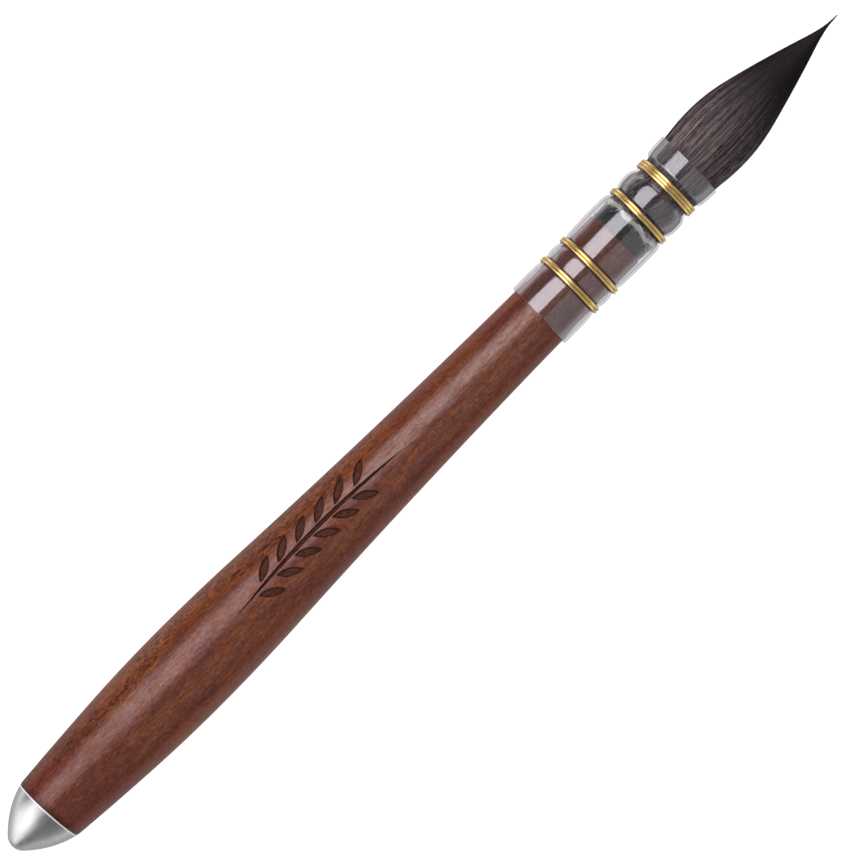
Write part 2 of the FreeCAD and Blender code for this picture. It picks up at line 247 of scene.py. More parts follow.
class Finish:
    """A material and its node tree, with short ways to add and join nodes."""

    def __init__(self, name):
        self.material = bpy.data.materials.new(name)
        self.material.use_nodes = True
        self.tree = self.material.node_tree
        self.shader = self.tree.nodes["Principled BSDF"]
        self.output = self.tree.nodes["Material Output"]

    def add(self, kind, inputs=None, **settings):
        node = self.tree.nodes.new("ShaderNode" + kind)
        for key, value in settings.items():
            setattr(node, key, value)
        for key, value in (inputs or {}).items():
            self.feed(node, key, value)
        return node

    def feed(self, node, key, value):
        """Sets an input of a node, or joins it to another node's output."""
        if isinstance(value, bpy.types.NodeSocket):
            self.tree.links.new(value, node.inputs[key])
        else:
            node.inputs[key].default_value = value

    def set(self, **inputs):
        """Inputs of the Principled shader, with _ for each space."""
        for key, value in inputs.items():
            self.feed(self.shader, key.replace("_", " "), value)

    def attribute(self, name):
        return self.add("Attribute", attribute_name=name).outputs["Fac"]

    def position(self):
        """The object's own coordinates, in metres."""
        return self.add("TexCoord").outputs["Object"]

    def stretched(self, scale):
        """The object's own coordinates, scaled differently along and across."""
        return self.add("Mapping", {"Vector": self.position(), "Scale": scale}).outputs["Vector"]

    def noise(self, scale, detail=3.0, roughness=0.55, distortion=0.0):
        inputs = {"Vector": self.stretched(scale), "Scale": 1.0, "Detail": detail,
                  "Roughness": roughness, "Distortion": distortion}
        return self.add("TexNoise", inputs).outputs["Fac"]

    def spread(self, value, low, high, to_low=0.0, to_high=1.0, smooth=True):
        """Maps a value from low..high to to_low..to_high, held at both ends."""
        kind = "SMOOTHSTEP" if smooth else "LINEAR"
        inputs = {"Value": value, "From Min": low, "From Max": high,
                  "To Min": to_low, "To Max": to_high}
        return self.add("MapRange", inputs, interpolation_type=kind).outputs["Result"]

    def math(self, operation, a, b=0.0):
        return self.add("Math", {0: a, 1: b}, operation=operation).outputs[0]

    def times(self, *factors):
        """The product of two or more values."""
        product = factors[0]
        for factor in factors[1:]:
            product = self.math("MULTIPLY", product, factor)
        return product

    def facing(self):
        """0 where the surface is seen square on, 1 where it is seen edge on."""
        return self.add("LayerWeight", {"Blend": 0.5}).outputs["Facing"]

    def blend(self, share, a, b, mode="MIX"):
        """Colour a turning to colour b as share goes from 0 to 1."""
        node = self.add("Mix", data_type="RGBA", blend_type=mode)
        self.feed(node, MIX_SHARE, share)
        for key, value in ((MIX_A, a), (MIX_B, b)):
            if not isinstance(value, bpy.types.NodeSocket):
                value = (*value, 1.0)
            self.feed(node, key, value)
        return node.outputs[MIX_RESULT]

    def bump(self, height, strength, distance):
        inputs = {"Height": height, "Strength": strength, "Distance": distance}
        return self.add("Bump", inputs).outputs["Normal"]

    def onto(self, obj, slot):
        obj.data.materials.clear()
        obj.data.materials.append(self.material)


def growth_rings(finish, spot):
    """The wood's rings, 1 on an ochre ring and 0 between them: a wave across the brush, a little
    tilted, that wanders along it."""
    wander = finish.noise((34, 150, 150), detail=2.0)
    turn = finish.math("MULTIPLY", spot["Y"], 2 * math.pi / RING_SPACING)
    tilt = finish.math("MULTIPLY", spot["Z"], 2 * math.pi * RING_TILT / RING_SPACING)
    drift = finish.spread(wander, 0.3, 0.7, -RING_WANDER, RING_WANDER, smooth=False)
    shift = finish.math("ADD", drift, RING_PHASE)
    phase = finish.math("ADD", finish.math("ADD", turn, tilt), shift)
    return finish.spread(finish.math("SINE", phase), -0.2, 1.0)


def bare_wood(finish, spot, forward, fibre, speck, mottle):
    """The wood's colour where it isn't burnt, and its pores, 1 in a pore and 0 beside it."""
    ochre, brown, plum = (0.205, 0.063, 0.015), (0.146, 0.034, 0.011), (0.098, 0.021, 0.013)
    pore_brown = (0.024, 0.007, 0.004)
    cloud = finish.noise((95, 420, 420), detail=3.0, distortion=0.6)
    pore_field = finish.noise((1100, 3100, 3100), detail=2.0, roughness=0.5, distortion=0.3)
    ring = growth_rings(finish, spot)
    outer_ring = finish.spread(spot["Y"], 0.0012, 0.0036)
    pore_level = finish.spread(finish.times(ring, outer_ring), 0.0, 1.0, 0.69, 0.515, smooth=False)
    pores = finish.spread(finish.math("SUBTRACT", pore_field, pore_level), 0.0, 0.06)

    brownness = finish.times(finish.spread(cloud, 0.36, 0.64), forward)
    colour = finish.blend(brownness, plum, brown)
    gold = finish.times(
        ring, finish.spread(outer_ring, 0.0, 1.0, 0.35, 0.7), forward,
        finish.spread(mottle, 0.35, 0.62, 0.3, 1.0),
    )
    colour = finish.blend(gold, colour, ochre)
    shade = finish.times(
        finish.spread(speck, 0.3, 0.7, 0.44, 1.56, smooth=False),
        finish.spread(fibre, 0.3, 0.7, 0.63, 1.37, smooth=False),
    )
    grey = finish.add("CombineColor", {"Red": shade, "Green": shade, "Blue": shade}).outputs[0]
    colour = finish.blend(1.0, colour, grey, mode="MULTIPLY")
    colour = finish.blend(finish.times(pores, 0.96), colour, pore_brown)
    return colour, pores


def wood_finish():
    """Satin hardwood: reddish brown with fine fibres, and rows of short dark pores that follow its
    ochre rings. The attribute burn is 1 on the floor of the burnt sprig, and a second attribute is
    1 along its charred edges and at the wood's rear edge by the cap, where the charcoal colour is
    painted shade in the joint."""
    finish = Finish("handle_wood")
    dark_ash, pale_ash = (0.034, 0.014, 0.010), (0.088, 0.036, 0.024)
    charcoal = (0.012, 0.005, 0.004)
    fibre = finish.noise((460, 3900, 3900), detail=3.0, roughness=0.6)
    speck = finish.noise((1500, 3300, 3300), detail=3.0, roughness=0.65)
    mottle = finish.noise((330, 1100, 1100), detail=3.0, roughness=0.6, distortion=0.4)
    spot = finish.add("SeparateXYZ", {"Vector": finish.position()}).outputs
    forward = finish.spread(spot["X"], NOSE_X + 0.016, NOSE_X + 0.031, 0.25, 1.0)
    neck = finish.spread(spot["X"], NOSE_X + 0.060, NOSE_X + 0.090, 1.0, 1.4)

    colour, pores = bare_wood(finish, spot, forward, fibre, speck, mottle)
    burn, char = finish.attribute("burn"), finish.attribute("char")
    ash = finish.blend(finish.spread(speck, 0.35, 0.65), dark_ash, pale_ash)
    colour = finish.blend(burn, colour, ash)
    # charcoal on the sprig's charred edges, and painted shade in the joint at the cap
    colour = finish.blend(char, colour, charcoal)

    polish = finish.times(
        finish.spread(mottle, 0.36, 0.62, 0.5, 1.0, smooth=False),
        finish.spread(speck, 0.3, 0.7, 0.6, 1.0, smooth=False),
        finish.spread(forward, 0.25, 1.0, 0.78, 1.0), neck,
        finish.spread(finish.facing(), 0.10, 0.30, 1.0, 0.05),
    )
    unburnt = finish.math("SUBTRACT", 1.0, finish.math("MAXIMUM", burn, char))
    satin = finish.spread(fibre, 0.3, 0.8, 0.34, 0.46)
    fine = finish.times(finish.math("ADD", speck, fibre), 0.45)
    ripple = finish.math("ADD", fine, finish.times(mottle, 2.0))
    finish.set(
        Base_Color=colour,
        Roughness=finish.math("MAXIMUM", satin, finish.times(burn, 0.9)),
        Normal=finish.bump(finish.math("SUBTRACT", fine, pores), 0.6, 0.03 * MM),
        Specular_IOR_Level=0.6, Specular_Tint=(1.0, 0.30, 0.22, 1),
        Coat_Weight=finish.times(polish, unburnt), Coat_Roughness=0.31, Coat_IOR=1.78,
        Coat_Normal=finish.bump(ripple, 0.6, 0.05 * MM),
    )
    return finish


def cap_finish():
    """Polished metal with the faint rings of its turning and a few hairline scratches."""
    finish = Finish("cap_metal")
    rings = finish.noise((9000, 60, 60), detail=2.0)
    haze = finish.noise((900, 900, 900), detail=3.0)
    scratch = finish.noise((700, 9000, 2600), detail=2.0)
    square_on, edge_on, dull = (0.36, 0.36, 0.365), (0.67, 0.67, 0.675), (0.30, 0.30, 0.30)
    shine = finish.blend(finish.spread(finish.facing(), 0.08, 0.38), square_on, edge_on)
    finish.set(
        Base_Color=finish.blend(finish.times(haze, 0.2), shine, dull),
        Metallic=1.0,
        Roughness=finish.spread(finish.math("ADD", haze, scratch), 0.7, 1.4, 0.32, 0.42),
        Normal=finish.bump(rings, 0.12, 0.01 * MM),
    )
    return finish


def lip_finish():
    """The cap's rim, frosted by the tool that faced it, and coloured near white with little metal
    so
    that it shows all round as a bright line: a painted highlight for the light its edge catches.
    """
    finish = Finish("cap_lip")
    frost = finish.noise((4000, 4000, 4000), detail=2.0)
    finish.set(
        # near white and mostly not metal: a painted highlight along the rim
        Base_Color=finish.blend(frost, (0.80, 0.77, 0.77), (0.92, 0.90, 0.90)),
        Metallic=0.3, Roughness=finish.spread(frost, 0.3, 0.7, 0.3, 0.5),
    )
    return finish


def brass_finish():
    """Bright drawn brass wire with slight tarnish, and painted shade down its sides, a dark brown
    where they turn towards the sleeve. The attribute crest is 1 along the wire's outermost line and
    -1 against the sleeve."""
    finish = Finish("brass_wire")
    tarnish = finish.noise((600, 600, 600), detail=3.0)
    lines = finish.noise((6000, 500, 500), detail=2.0)
    bright, tarnished, painted_side_shade = (0.97, 0.71, 0.30), (0.82, 0.52, 0.16), (0.20, 0.095, 0.018)
    colour = finish.blend(finish.spread(tarnish, 0.4, 0.75), bright, tarnished)
    # the wire's sides, away from its crest, are painted dark brown: painted shade
    side = finish.spread(finish.attribute("crest"), 0.1, 0.65, 0.85, 0.0)
    colour = finish.blend(side, colour, painted_side_shade)
    finish.set(
        Base_Color=colour, Metallic=0.85,
        Roughness=finish.spread(tarnish, 0.3, 0.8, 0.22, 0.34),
        Normal=finish.bump(lines, 0.15, 0.01 * MM),
    )
    return finish


def quill_finish():
    """Clear thin plastic: see-through, glossy and a little cloudy, and darker seen edge on. The
    attribute groove is 1 in the creases beside the wires, and a second attribute is 1 right against
    them, where a near-black painted shade is laid along each wire."""
    finish = Finish("clear_quill")
    facing = finish.facing()
    edge = finish.math("POWER", facing, 3.0)
    smudge = finish.noise((700, 700, 700), detail=4.0)
    dents = finish.noise((420, 620, 620), detail=2.0)
    clear = finish.add("BsdfTransparent", {
        "Color": finish.blend(edge, (0.97, 0.965, 0.97), (0.80, 0.79, 0.80)),
    })
    milk = finish.add("BsdfDiffuse", {"Color": (0.80, 0.80, 0.84, 1)})
    # near-black diffuse laid on the sleeve right against the wires: painted shade
    painted_shade_layer = finish.add("BsdfDiffuse", {"Color": (0.060, 0.036, 0.022, 1)})
    gloss = finish.add("BsdfGlossy", {
        "Color": (0.96, 0.95, 1.0, 1), "Normal": finish.bump(dents, 0.25, 0.05 * MM),
        "Roughness": finish.spread(smudge, 0.35, 0.75, 0.03, 0.09),
    })
    haze = finish.math("ADD", finish.spread(edge, 0.0, 1.0, 0.008, 0.15, smooth=False),
                       finish.spread(smudge, 0.5, 0.8, 0.0, 0.03))
    grime = finish.times(finish.attribute("grime"), 0.5)
    mirror = finish.math("ADD", finish.times(finish.math("POWER", facing, 5.0), 0.6), 0.12)
    smooth = finish.spread(finish.attribute("groove"), 0.0, 1.0, 1.0, 0.15)
    whole = clear
    for share, layer in ((haze, milk), (grime, painted_shade_layer), (finish.times(mirror, smooth), gloss)):
        whole = finish.add("MixShader", {0: share, 1: whole.outputs[0], 2: layer.outputs[0]})
    finish.tree.nodes.remove(finish.shader)
    finish.feed(finish.output, "Surface", whole.outputs[0])
    return finish


def resin_finish():
    """Black resin, lumpy and faintly speckled."""
    finish = Finish("black_resin")
    lumps = finish.noise((900, 900, 900), detail=3.0)
    specks = finish.noise((5200, 5200, 5200), detail=2.0)
    finish.set(
        Base_Color=finish.blend(
            finish.spread(specks, 0.55, 0.8), (0.012, 0.012, 0.015), (0.05, 0.05, 0.06)
        ),
        Roughness=finish.spread(lumps, 0.3, 0.7, 0.25, 0.5), Specular_IOR_Level=0.3,
        Normal=finish.bump(lumps, 0.6, 0.1 * MM),
    )
    return finish


def cotton_finish():
    """Undyed cotton. tint is each fibre's own shade."""
    finish = Finish("cotton_thread")
    shaded, pale, stain = (0.46, 0.43, 0.39), (0.96, 0.95, 0.93), (0.40, 0.37, 0.31)
    fuzz = finish.noise((7000, 7000, 7000), detail=3.0)
    colour = finish.blend(finish.attribute("tint"), shaded, pale)
    finish.set(
        Base_Color=finish.blend(finish.spread(fuzz, 0.5, 0.8, 0.0, 0.5), colour, stain),
        Roughness=0.85, Sheen_Weight=0.4, Normal=finish.bump(fuzz, 0.5, 0.03 * MM),
    )
    return finish


def hair_finish():
    """Fine animal hair. tint is each hair's own shade, and along runs from 0 at the root of the
    tuft to 1 at its point, where it is darkest."""
    finish = Finish("hair")
    tint, along = finish.attribute("tint"), finish.attribute("along")
    patch = finish.noise((160, 1500, 1500), detail=2.0)
    dark, pale, black = (0.055, 0.038, 0.043), (0.345, 0.265, 0.265), (0.008, 0.005, 0.008)
    root_colour = finish.blend(finish.spread(tint, 0.45, 0.85), dark, pale)
    root_colour = finish.blend(finish.spread(tint, 0.2, 0.5, 0.9, 0.0), root_colour, black)
    tip_colour = finish.blend(tint, (0.004, 0.0025, 0.003), (0.022, 0.015, 0.017))
    colour = finish.blend(finish.spread(along, 0.08, 0.60), root_colour, tip_colour)
    shadow = finish.spread(patch, 0.45, 0.7, 0.0, 0.45)
    finish.set(
        Base_Color=finish.blend(shadow, colour, (0.020, 0.014, 0.015)),
        Roughness=finish.spread(along, 0.1, 0.7, 0.5, 0.6), Specular_IOR_Level=0.25,
    )
    return finish


def steel_finish():
    """Turned steel with the fine rings of its turning."""
    finish = Finish("stud_steel")
    turning = finish.noise((9000, 400, 400), detail=2.0)
    finish.set(
        Base_Color=finish.blend(turning, (0.42, 0.42, 0.43), (0.62, 0.62, 0.63)),
        Metallic=1.0, Roughness=finish.spread(turning, 0.3, 0.7, 0.3, 0.5),
    )
    return finish


# ---------------------------------------------------------------- handle and cap

REAR_BEVEL, TENON_BEVEL = 0.22, 0.25
REAR_R, HAUNCH, BELLY = 5.93, (24.0, 7.07), (38.5, 7.5)
SHOULDER, NECK_R, TENON = (55.0, 7.09), 5.25, (118.0, 5.04)
STUD_HOLE_R, STUD_HOLE_END = 2.0, 20.4
JOINT_SLANT = 0.28

SPRIG_X, SPRIG_Y = (52.3, 83.4), 0.6
SPRIG_DEPTH, SPRIG_SOFT_EDGE = 0.2, 0.07
STEM_BOW, STEM_WIDTH = 0.75, 0.5
LEAF_PAIRS, LEAF_FIRST_X, LEAF_PITCH, LEAF_STAGGER = 6, 54.4, 4.1, 1.6
LEAF_OFFSET, LEAF_RUN, LEAF_RISE, LEAF_HALF_WIDTH = 0.62, 3.5, 2.15, 0.6


def inside_lens(x, y, start, end, above, below):
    """How far inside a pointed shape of two arcs a point seen from above lies, in mm."""
    start, end = np.array(start), np.array(end)
    chord = end - start
    length = float(np.hypot(*chord))
    across = np.array([-chord[1], chord[0]]) / length
    depth = np.full(np.broadcast(x, y).shape, np.inf)
    for bulge, side in ((above, 1), (below, -1)):
        radius = length**2 / (8 * abs(bulge)) + abs(bulge) / 2
        centre = (start + end) / 2 - across * math.copysign(radius - abs(bulge), bulge)
        reach = radius - np.hypot(x - centre[0], y - centre[1])
        depth = np.minimum(depth, reach * math.copysign(1, side * bulge))
    return depth


def sprig(x, y):
    """How far inside the sprig's stem or a leaf a point seen from above lies, in mm."""
    depth = inside_lens(
        x, y, (SPRIG_X[0], SPRIG_Y), (SPRIG_X[1], SPRIG_Y),
        STEM_BOW + STEM_WIDTH / 2, STEM_BOW - STEM_WIDTH / 2,
    )
    middle, half = sum(SPRIG_X) / 2, (SPRIG_X[1] - SPRIG_X[0]) / 2
    for pair in range(LEAF_PAIRS):
        for side in (1, -1):
            leaf_x = LEAF_FIRST_X + pair * LEAF_PITCH + max(side, 0) * LEAF_STAGGER
            bow = STEM_BOW * (1 - ((leaf_x - middle) / half) ** 2)
            leaf_y = SPRIG_Y + bow + side * LEAF_OFFSET
            tip = (leaf_x + LEAF_RUN, leaf_y + side * LEAF_RISE)
            leaf = inside_lens(x, y, (leaf_x, leaf_y), tip, LEAF_HALF_WIDTH, -LEAF_HALF_WIDTH)
            depth = np.maximum(depth, leaf)
    return depth


def joint_slant(x, angle):
    """The cap and the wood meet on a slightly slanting line, further forward on the -Y side."""
    near = np.where(x < HANDLE_REAR, x / HANDLE_REAR, 1 - smoothstep(HANDLE_REAR + 0.5, 20, x))
    return -JOINT_SLANT * near * np.sin(angle)


def handle_outline():
    """The handle's section, with points close together where the sprig is cut."""
    neck = (SLEEVE_REAR, NECK_R)
    front = chain([BELLY, SHOULDER, neck], 0, 1.0)
    rear = chain([BELLY, HAUNCH, (HANDLE_REAR + REAR_BEVEL, REAR_R)], 180, 1.0)[::-1]
    outside = np.concatenate([rear, front[1:]])
    margin, step, gap = 0.8, 0.1, 0.2
    low, high = SPRIG_X[0] - margin, SPRIG_X[1] + margin
    fine_x = np.arange(low, high, step)
    fine = np.stack([fine_x, np.interp(fine_x, *outside.T)], axis=-1)
    before, after = outside[outside[:, 0] < low - gap], outside[outside[:, 0] > high + gap]
    return np.concatenate([
        [(STUD_HOLE_END, 0), (STUD_HOLE_END, STUD_HOLE_R), (HANDLE_REAR, STUD_HOLE_R)],
        [(HANDLE_REAR, REAR_R - REAR_BEVEL), (HANDLE_REAR + 0.06, REAR_R - 0.08)],
        before, fine, after,
        [TENON, (TENON_END - TENON_BEVEL, TENON[1])],
        [(TENON_END, TENON[1] - TENON_BEVEL), (TENON_END, 0)],
    ])


def make_handle():
    """The turned wood, with the sprig burnt into its upper side."""
    outline = handle_outline()
    fine = np.radians(np.arange(-30, 46, 0.75))  # across the sprig
    coarse = np.linspace(fine[-1], fine[0] + 2 * math.pi, 110)[1:-1]
    angles = np.concatenate([fine, coarse])
    x, r = outline[1:-1, 0][:, None], outline[1:-1, 1][:, None]
    reach = np.where(np.cos(angles) > 0.3, sprig(x, r * np.sin(angles)), -1.0)
    burn = smoothstep(-SPRIG_SOFT_EDGE, SPRIG_SOFT_EDGE, reach)
    char = smoothstep(-0.20, -0.02, reach) * (1 - smoothstep(0.04, 0.20, reach))
    # the wood's rear edge at the cap is painted charcoal as well: painted shade in the joint
    char = np.maximum(char, 1 - smoothstep(HANDLE_REAR + 0.16, HANDLE_REAR + 0.32, x))

    def shape(x, r, angle):
        return x + joint_slant(x, angle), r - SPRIG_DEPTH * burn

    handle = turned("handle_wood", outline, angles, shape, burn=burn, char=char)
    wood_finish().onto(handle, "handle_wood")
    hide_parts("handle")
    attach(handle, "brush")


def make_cap():
    """The bullet that closes the handle's rear end, hollow for the stud."""
    rim, bore_end = 5.86, 3.4
    lip_width, lip_depth, lip_crown = 0.24, 0.5, 0.08
    body_end = CAP_END - lip_width
    dome = chain([(0, 0), (0.69, 1.66), (3.85, 4.14), (body_end, rim - 0.07)], 90, 0.12)
    bore = [(body_end, STUD_HOLE_R), (bore_end, STUD_HOLE_R), (bore_end, 0)]
    shell = np.concatenate([dome, bore])
    crown = np.radians(np.arange(170, 0, -20))
    lip_x = body_end + lip_width / 2 * (1 + np.cos(crown))
    lip_r = rim - lip_crown + lip_crown * np.sin(crown)
    lip = np.concatenate([
        [(body_end, 0), (body_end, rim - lip_depth)], np.stack([lip_x, lip_r], axis=-1),
        [(CAP_END, rim - lip_depth), (CAP_END, 0)],
    ])

    def shape(x, r, angle):
        return x + joint_slant(x, angle), r

    cap_pieces = ("cap_shell", shell, cap_finish()), ("cap_lip", lip, lip_finish())
    for name, outline, finish in cap_pieces:
        piece = turned(name, outline, tube_ring(160), shape)
        finish.onto(piece, "cap_metal")
        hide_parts("end_cap")
        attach(piece, "brush")


# ---------------------------------------------------------------- sleeve and wires

WIRE_R, WIRE_PITCH = 0.25, 0.51
WIRE_SIDES, WIRE_STEPS = 16, 96  # round the wire, and along each turn of it
WIRE_TUCK, WIRE_SINK, WIRE_TAPER = math.radians(16), 0.85, 0.6
BINDINGS = {
    "wire_binding_1": {"x": 121.7, "outside": 5.93, "turns": 2, "lean": 0.05, "crease": 0.3},
    "wire_binding_2": {"x": 125.9, "outside": 5.93, "turns": 2, "lean": 0.10, "crease": 0.3},
    "wire_binding_3": {"x": 136.6, "outside": 5.76, "turns": 2, "lean": 0.16, "crease": 0.5},
    "wire_binding_4": {"x": 142.7, "outside": 5.66, "turns": 3, "lean": 0.05, "crease": 0.9},
}
SLEEVE_WALL = 0.35
SLEEVE_OUTSIDE = [
    (SLEEVE_REAR - 1, 5.78), (118.4, 5.81), (119.9, 5.75), (120.8, 5.62),
    (121.3, 5.45), (122.1, 5.45), (122.5, 5.64),  # under the first binding
    (123.6, 5.81), (124.8, 5.70),
    (125.4, 5.45), (126.4, 5.45), (126.8, 5.68),  # under the second
    (127.9, 5.79), (131.6, 5.87), (134.4, 5.84), (135.3, 5.69),
    (136.0, 5.26), (137.1, 5.26), (137.7, 5.55),  # under the third
    (138.9, 5.77), (139.9, 5.75), (140.5, 5.62),
    (141.5, 5.14), (143.7, 5.14), (144.5, 5.73),  # under the fourth
    (146.3, 5.90), (MOUTH + 1, 5.98),
]
REAR_CUT_SLOPE, MOUTH_CUT_SLOPE = 0.055, 0.02
SLEEVE_ROUND, BUCKLE = 0.06, 0.014


def sleeve_outside(x):
    """The sleeve's outer radius at x."""
    return smooth_curve(SLEEVE_OUTSIDE, x)


def sleeve_section(angles):
    """x and r of the tube's wall, row by row along it: its rear lip, its outside, its front lip
    and its inside. Each end is cut on a slant, and the tube buckles a little beside the wires."""
    along = np.linspace(0, 1, 240)
    rear_r, mouth_r = 5.8, 5.97
    rear = SLEEVE_REAR + rear_r * REAR_CUT_SLOPE * (1 + np.sin(angles)) / 2
    mouth = MOUTH - mouth_r * MOUTH_CUT_SLOPE * (1 - np.sin(angles))
    x = rear[None, :] + (mouth - rear)[None, :] * along[:, None]
    buckle = np.zeros_like(x)
    for number, binding in enumerate(BINDINGS.values()):
        near = np.exp(-(((np.abs(x - binding["x"]) - 1.5) / 0.6) ** 2))
        waves = np.cos(5 * angles + number) + 0.6 * np.cos(9 * angles + 2.3 * number)
        buckle += BUCKLE * near * waves
    outside = sleeve_outside(x) + buckle
    inside = outside - SLEEVE_WALL
    rows_x = np.concatenate([x[:1], x[:1], x, x[-1:], x[-1:], x[::-1]])
    front = 1 + len(along)
    rows_x[[2, -1]] += SLEEVE_ROUND
    rows_x[[front, -len(along)]] -= SLEEVE_ROUND
    rows_r = np.concatenate([
        inside[:1] + SLEEVE_ROUND, outside[:1] - SLEEVE_ROUND, outside,
        outside[-1:] - SLEEVE_ROUND, inside[-1:] + SLEEVE_ROUND, inside[::-1],
    ])
    return rows_x, rows_r


def wire_marks(x, angles):
    """groove, which is 1 in the creases beside the wires, and the share of painted shade, which is
    1 right against them.
    """
    groove, grime = np.zeros_like(x), np.zeros_like(x)
    for binding in BINDINGS.values():
        off = np.abs(x - binding["x"] - binding["lean"] * np.sin(angles))
        off -= binding["turns"] * WIRE_PITCH / 2
        crease = binding["crease"]
        groove = np.maximum(groove, 1 - smoothstep(0.5 * crease, 1.1 * crease, off))
        grime = np.maximum(grime, 1 - smoothstep(0.02, 0.18, off))
    return groove, grime


def make_sleeve():
    """The clear quill: a thin tube with a slanting cut at each end, pulled in under the wires."""
    angles = tube_ring(192)
    x, r = sleeve_section(angles)
    groove, grime = wire_marks(x, angles)
    points = place(x, r, angles[None, :]).reshape(-1, 3)
    sleeve = new_mesh(
        "quill_tube", points, [grid_faces(*x.shape, wrap_rows=True)], 40,
        groove=groove.ravel(), grime=grime.ravel(),
    )
    quill_finish().onto(sleeve, "clear_quill")
    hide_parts("quill_sleeve")
    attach(sleeve, "brush")


def make_bindings():
    """Each binding is one wire wound side by side. It steps over to the next lane on the +Y side,
    where both of its ends thin out and are pressed into the sleeve."""
    brass = brass_finish()
    ring = tube_ring(WIRE_SIDES)
    step_from, step_to, start = np.radians([48, 125, 104])
    for name, binding in BINDINGS.items():
        turns = binding["turns"]
        steps = turns * WIRE_STEPS + 1
        angle = np.linspace(start, start + turns * 2 * math.pi, steps)
        lap = np.floor((angle - step_from) / (2 * math.pi))
        lane = lap + smoothstep(step_from, step_to, angle - lap * 2 * math.pi)
        x = binding["x"] + ((turns + 1) / 2 - lane) * WIRE_PITCH
        x += binding["lean"] * np.sin(angle)
        from_end = np.minimum(angle - angle[0], angle[-1] - angle)
        tuck = 1 - smoothstep(0, WIRE_TUCK, from_end)
        radius = binding["outside"] - WIRE_R * (1 + WIRE_SINK * tuck)
        thickness = WIRE_R * (1 - WIRE_TAPER * tuck)
        wire = tubes(
            name.replace("wire", "brass"), x[None], radius[None], angle[None], thickness[None],
            sides=WIRE_SIDES, crest=np.cos(ring)[None, None, :],
        )
        brass.onto(wire, "brass_wire")
        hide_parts(name)
        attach(wire, "brush")


# ---------------------------------------------------------------- inside the sleeve

THREAD_X, THREAD_R = 134.95, 5.05
THREAD_STRANDS, FRAYED_ENDS, FRAY_X = 30, 330, (133.4, 136.0)
LASHING_FRONT, LASHING_FLARE = 135.3, 4


def make_glue():
    """The resin plug, a little uneven where it was poured."""
    start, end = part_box("root_glue")[0].x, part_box("root_glue")[1].x
    start, end = (start - NOSE_X) / MM, (end - NOSE_X) / MM
    rim = 4.98
    side_x = np.linspace(start + 0.2, end - 0.15, 12)
    side = np.stack([side_x, np.full_like(side_x, rim)], axis=-1)
    outline = np.concatenate([
        [(start, 0), (start, rim - 0.2)], side, [(end, rim - 0.2), (end, 0)],
    ])

    def uneven(x, r, angle):
        lumps = 0.03 * np.sin(5 * angle + 3 * x) + 0.02 * np.sin(9 * angle - 5 * x) - 0.05
        return x, r + (r > rim - 0.1) * lumps

    glue = turned("glue_plug", outline, tube_ring(96), uneven)
    resin_finish().onto(glue, "black_resin")
    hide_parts("root_glue")
    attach(glue, "brush")


def thread_path(angle):
    """Where the lashing lies along the brush: it wanders, most of all on its upper side, and sits
    further back on the -Y side."""
    upper = smoothstep(-0.2, 0.5, np.cos(angle))
    loops = 0.20 * np.sin(7 * angle + 3.28) + 0.05 * np.sin(13 * angle)
    drift = 0.11 * np.sin(3 * angle + 0.8) + 0.06 * np.sin(8 * angle + 2.1)
    drift += 0.04 * np.sin(13 * angle)
    return THREAD_X + 0.26 * np.sin(angle) + upper * loops + (1 - upper) * drift


def scattered(random, low, high, count):
    """A random number from low to high for each fibre or hair."""
    return random.uniform(low, high, (count, 1))


def phases(random, count):
    """A random phase for each fibre's or hair's waves."""
    return scattered(random, 0, 6.28, count)


def lashing_strands(random):
    """The x, r, angle and thickness of loose twisted fibres, each wound just over once round."""
    count = THREAD_STRANDS
    turns = np.linspace(0, 2 * math.pi * 1.02, 150)[None, :]
    angle = turns + phases(random, count)
    twist = 9 * angle + phases(random, count)
    spread = scattered(random, 0.10, 0.50, count)
    offset = random.normal(0, 0.06, (count, 1))
    x = thread_path(angle) + spread * np.sin(twist) * 0.6 + offset
    x += 0.09 * np.sin(5 * angle + phases(random, count))
    x += 0.06 * np.sin(17 * angle + phases(random, count))
    room = sleeve_outside(x) - SLEEVE_WALL - 0.12
    r = np.minimum(THREAD_R + 0.14 * np.cos(twist), room)
    thick = np.ones_like(x) * scattered(random, 0.035, 0.065, count)
    return x, r, angle, thick


def frayed_ends(random):
    """The x, r, angle and thickness of short fibre ends that stand off the lashing."""
    count = FRAYED_ENDS
    t = np.linspace(0, 1, 14)[None, :]
    at = scattered(random, 0, 2 * math.pi, count)
    angle = at + t * scattered(random, -0.35, 0.35, count)
    wave = 0.1 * np.sin(t * 9 + phases(random, count))
    x = thread_path(at) + random.normal(0, 0.2, (count, 1))
    x = x + t * random.normal(0, 0.6, (count, 1)) + wave
    x = np.clip(x, *FRAY_X)
    r = THREAD_R + 0.2 * random.random((count, 1))
    r = np.minimum(r, sleeve_outside(x) - SLEEVE_WALL - 0.06)
    thick = 0.034 * (1 - 0.6 * t) * np.ones((count, 1))
    return x, r, angle, thick


def make_thread():
    """Cotton lashing: loose twisted fibres wound round the butt of the hair, with frayed ends."""
    random = np.random.default_rng(7)
    paths = {"cotton_lashing": lashing_strands(random), "cotton_fray": frayed_ends(random)}
    cotton = cotton_finish()
    for name, path in paths.items():
        piece = tubes(name, *path, sides=5, tint=random.random(len(path[0])))
        cotton.onto(piece, "cotton_thread")
        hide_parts("root_thread")
        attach(piece, "brush")


# ---------------------------------------------------------------- hair

CREST, HAIR_R_AT_MOUTH = (153.4, 5.97), 5.5
TUFT_OUTLINE = [CREST, (160.6, 5.07), (175.2, 0.84), (LENGTH, 0.10)]
HAIR_BUTT, HAIR_NIP, CORE_END = 134.25, 142.7, 179.2
HAIR_R, HAIR_POINTS = 0.052, 16
HAIRS_IN_SLEEVE, LOCKS, LOCK_PULL = 1500, 180, 0.5
HAIR_LAYERS = (("outer", 2100, 0.10), ("middle", 2100, 0.30), ("inner", 1500, 0.55))


